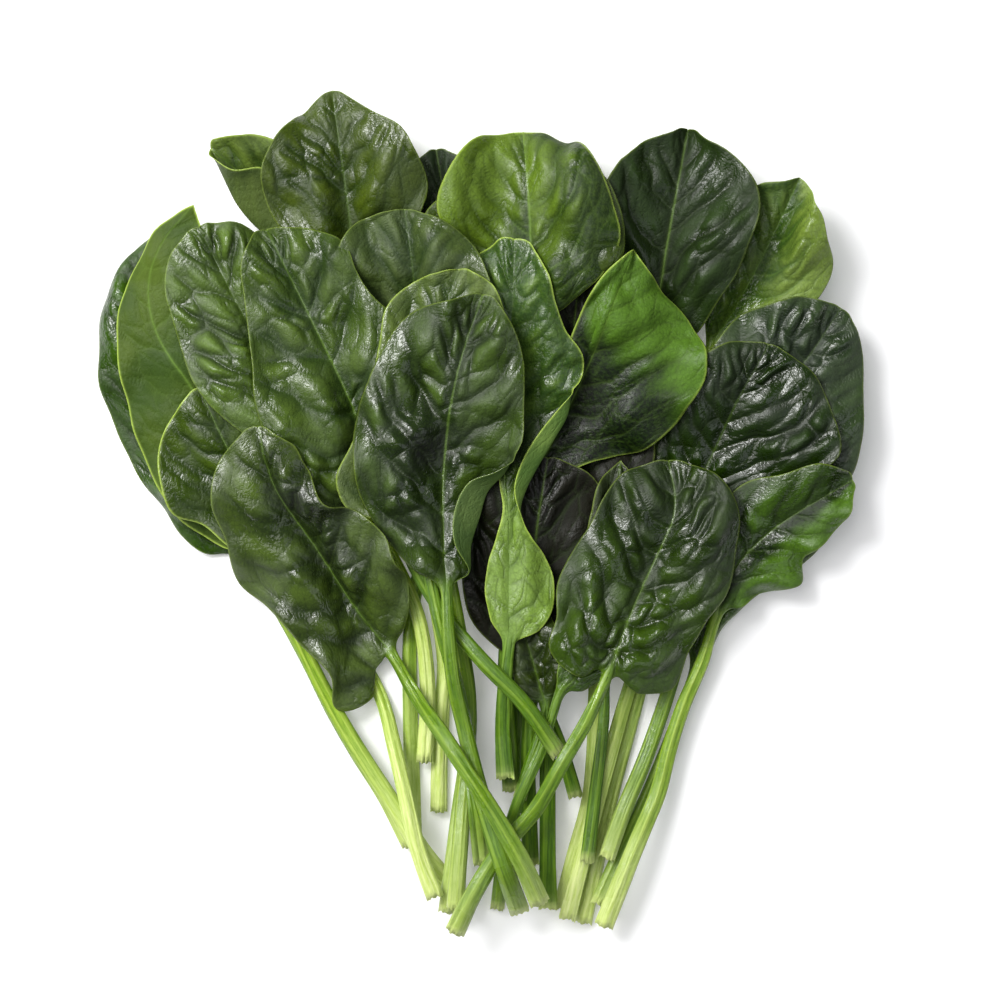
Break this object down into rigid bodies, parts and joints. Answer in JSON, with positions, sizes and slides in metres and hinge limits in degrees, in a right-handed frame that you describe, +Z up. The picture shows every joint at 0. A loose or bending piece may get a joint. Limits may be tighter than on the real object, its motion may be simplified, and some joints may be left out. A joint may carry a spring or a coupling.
{
  "type": "spinach bunch",
  "caption": "Loose bunch of fresh spinach leaves with long cut stalks, fanned out and lying flat, for kitchen and market scenes.",
  "frame": {"origin": "centre of the bounding box in plan, on the surface that the bunch lies on", "axes": "+Y from the cut ends towards the leaf tips, +X to the right seen from above with the leaf tips away from the viewer, +Z up from the surface"},
  "size_m": [0.2722, 0.3006, 0.0306],
  "materials": {
    "leaf_deep_green": "almost black-green, glossy leaf with a pale green stalk",
    "leaf_dark_green": "dark green, glossy, puckered leaf with a pale green stalk",
    "leaf_mid_green": "mid green leaf with a pale green stalk",
    "leaf_light_green": "light yellow-green leaf with a pale green stalk",
    "leaf_underside": "matte paler underside with raised veins"
  },
  "bodies": {
    "root": {"leaf_back_sliver": "leaf_deep_green", "leaf_back_left_cupped": "leaf_mid_green", "leaf_back_right_light": "leaf_light_green", "leaf_back_right_dark": "leaf_deep_green", "leaf_far_left_dark": "leaf_dark_green", "leaf_left_underside": "leaf_underside", "leaf_top_left": "leaf_mid_green", "leaf_behind_top_centre": "leaf_mid_green", "leaf_behind_right_wavy": "leaf_dark_green", "leaf_far_right_puckered": "leaf_dark_green", "leaf_right_puckered": "leaf_dark_green", "leaf_inner_dark_upper": "leaf_deep_green", "leaf_top_centre": "leaf_light_green", "leaf_centre_right_bright": "leaf_light_green", "leaf_inner_dark_lower": "leaf_deep_green", "leaf_lower_left": "leaf_mid_green", "leaf_left_puckered": "leaf_dark_green", "leaf_under_twisted": "leaf_dark_green", "leaf_olive_sliver": "leaf_mid_green", "leaf_small_front_right": "leaf_dark_green", "leaf_centre_twisted": "leaf_mid_green", "leaf_behind_front_centre": "leaf_mid_green", "leaf_left_middle": "leaf_mid_green", "leaf_above_front_centre": "leaf_mid_green", "leaf_right_wavy": "leaf_mid_green", "leaf_front_right": "leaf_dark_green", "leaf_front_centre": "leaf_dark_green", "leaf_front_left": "leaf_dark_green"}
  },
  "joints": []
}
